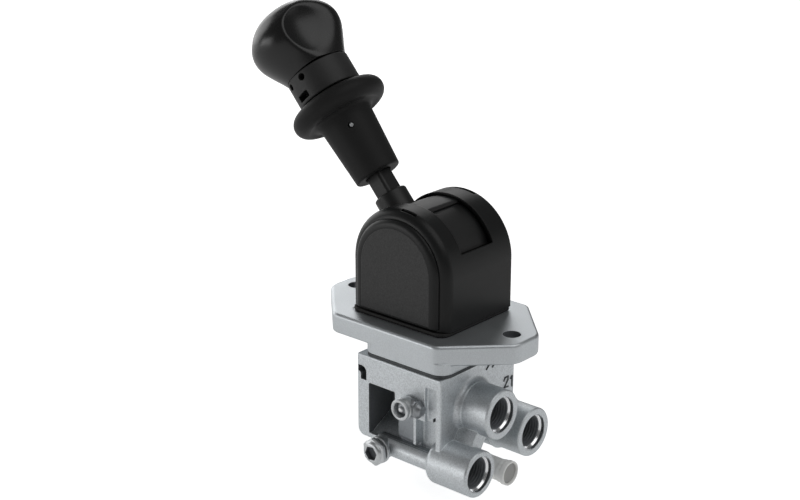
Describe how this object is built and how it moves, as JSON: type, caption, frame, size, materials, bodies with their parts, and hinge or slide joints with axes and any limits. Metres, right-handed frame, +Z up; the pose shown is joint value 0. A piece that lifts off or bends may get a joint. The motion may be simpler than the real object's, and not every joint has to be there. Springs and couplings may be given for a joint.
{
  "type": "parking brake valve",
  "caption": "Hand-operated parking brake valve: panel flange, cast valve block with side ports, arched cap and a swinging lever with a lift ring and knob.",
  "frame": {"origin": "on the flange's top face, on its centre line, between the cap and the right panel hole", "axes": "+X along the front face toward the ports, +Y to the back, +Z up through the cap"},
  "size_m": [0.1657, 0.0789, 0.2139],
  "materials": {
    "cast_aluminium": "as-cast, satin",
    "blasted_aluminium": "blasted, satin",
    "bracket_steel": "pressed, plain",
    "zinc_steel": "zinc plated",
    "ground_steel": "ground",
    "brass": "turned",
    "cap_black": "moulded, fine grain",
    "cover_black": "moulded, coarse grain",
    "leaf_black": "smooth, matte",
    "knob_black": "glossy",
    "collar_black": "semi matte",
    "ring_black": "semi matte",
    "rod_black": "black oxide",
    "rubber_black": "matte",
    "stub_plastic": "smooth",
    "insert_plastic": "smooth"
  },
  "bodies": {
    "housing": {"mounting_flange": "blasted_aluminium", "body_gasket": "rubber_black", "valve_body": "cast_aluminium", "test_nipple": "zinc_steel", "nipple_core": "ground_steel", "plug_washer": "zinc_steel", "plug_screw": "zinc_steel", "bottom_cover": "cast_aluminium", "exhaust_stub": "stub_plastic", "exhaust_insert": "insert_plastic", "lever_cap": "cap_black", "cap_front_cover": "cover_black", "cap_gasket": "rubber_black", "lever_bracket": "bracket_steel", "shaft_bush_front": "brass", "shaft_bush_back": "brass", "control_piston": "zinc_steel", "piston_seal": "rubber_black", "body_screw_1": "zinc_steel", "body_screw_2": "zinc_steel", "body_screw_3": "zinc_steel", "body_screw_4": "zinc_steel", "cap_screw_1": "zinc_steel", "cap_screw_2": "zinc_steel", "cap_screw_3": "zinc_steel", "cap_screw_4": "zinc_steel", "cover_screw_1": "zinc_steel", "cover_screw_2": "zinc_steel", "cover_screw_3": "zinc_steel", "cover_screw_4": "zinc_steel"},
    "lever": {"lever_rod": "rod_black", "lever_shaft": "ground_steel", "knob_collar": "collar_black", "knob_head": "knob_black", "slot_cover": "leaf_black"},
    "lower_leaf": {"slot_cover_lower": "leaf_black"},
    "lift_ring_set": {"lift_ring": "ring_black", "lift_pin": "zinc_steel", "lift_spring": "ground_steel"},
    "tappet_set": {"tappet": "ground_steel", "graduating_spring": "ground_steel"}
  },
  "joints": [
    {"name": "lever_swing", "type": "hinge", "parent": "housing", "child": "lever", "pos_m": [-0.037, 0, 0.0264], "axis": [0, 1, 0], "range_deg": [0, 78], "stiffness_Nm_per_rad": 0.5, "springref_deg": -85.94},
    {"name": "leaf_swing", "type": "hinge", "parent": "housing", "child": "lower_leaf", "pos_m": [-0.037, 0, 0.0264], "axis": [0, 1, 0], "range_deg": [0, 39]},
    {"name": "ring_lift", "type": "slide", "parent": "lever", "child": "lift_ring_set", "axis": [-0.6639, 0, 0.7478], "range_m": [0, 0.006], "stiffness_N_per_m": 600, "springref_m": -0.01},
    {"name": "tappet_push", "type": "slide", "parent": "housing", "child": "tappet_set", "axis": [0, 0, -1], "range_m": [0, 0.006], "deforming": ["graduating_spring"]}
  ],
  "couplings": [
    {"joint": "leaf_swing", "follows": "lever_swing", "ratio": 0.5},
    {"joint": "tappet_push", "follows": "lever_swing", "m_per_rad": 0.004407}
  ]
}
